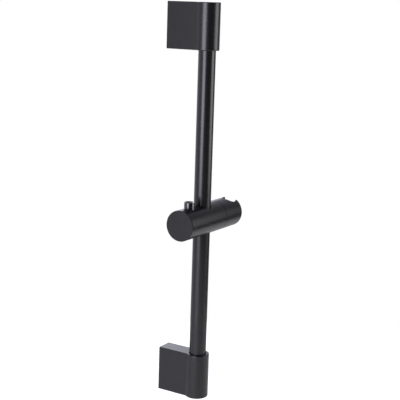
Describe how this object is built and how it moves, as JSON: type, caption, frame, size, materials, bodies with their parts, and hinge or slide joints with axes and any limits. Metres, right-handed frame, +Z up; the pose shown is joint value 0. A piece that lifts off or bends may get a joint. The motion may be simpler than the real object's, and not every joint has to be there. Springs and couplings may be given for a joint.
{
  "type": "shower slide rail",
  "caption": "Round wall rail held off the wall by two brackets, with a push-button slider that slides, swivels and tilts a conical hand-shower cradle.",
  "frame": {"origin": "centre of the lower bracket's wall face", "axes": "+Z up along the rail, +Y into the wall, +X towards the slider's cradle"},
  "size_m": [0.1234, 0.0729, 0.514],
  "materials": {
    "satin_black_steel": "satin black coating",
    "satin_black_plastic": "satin black coating",
    "grey_nylon": "moulded",
    "zinc_steel": "zinc plated",
    "brass": "turned",
    "black_rubber": "moulded"
  },
  "bodies": {
    "rail": {"rail_tube": "satin_black_steel", "upper_bracket": "satin_black_plastic", "lower_bracket": "satin_black_plastic", "upper_wall_plate": "grey_nylon", "lower_wall_plate": "grey_nylon", "upper_grub_screw": "zinc_steel", "lower_grub_screw": "zinc_steel", "upper_tube_plug": "grey_nylon", "lower_tube_plug": "grey_nylon"},
    "guide_rings": {"upper_guide_ring": "grey_nylon", "lower_guide_ring": "grey_nylon"},
    "slider": {"slider_body": "satin_black_plastic", "end_cap": "satin_black_plastic", "brake_spring": "zinc_steel", "friction_disc": "grey_nylon", "pivot_insert": "brass", "pivot_screw": "zinc_steel", "spring_washer": "zinc_steel"},
    "brake": {"brake_shoe": "grey_nylon", "brake_pad": "black_rubber"},
    "button": {"push_button": "satin_black_plastic"},
    "cradle": {"cradle": "satin_black_plastic"}
  },
  "joints": [
    {"name": "slider_height", "type": "slide", "parent": "rail", "child": "guide_rings", "axis": [0, 0, 1], "range_m": [-0.16, 0.195]},
    {"name": "slider_swivel", "type": "hinge", "parent": "guide_rings", "child": "slider", "pos_m": [0, -0.0532, 0.2103], "axis": [0, 0, 1], "range_deg": [-40, 25]},
    {"name": "cradle_tilt", "type": "hinge", "parent": "slider", "child": "cradle", "pos_m": [0.0303, -0.0532, 0.2103], "axis": [1, 0, 0], "continuous": true},
    {"name": "button_press", "type": "slide", "parent": "slider", "child": "button", "axis": [0, 0, -1], "range_m": [0, 0.004], "stiffness_N_per_m": 1500, "springref_m": -0.002},
    {"name": "brake_release", "type": "slide", "parent": "slider", "child": "brake", "axis": [-1, 0, 0], "range_m": [0, 0.002], "deforming": ["brake_spring"]}
  ],
  "couplings": [
    {"joint": "brake_release", "follows": "button_press", "ratio": 0.5}
  ]
}
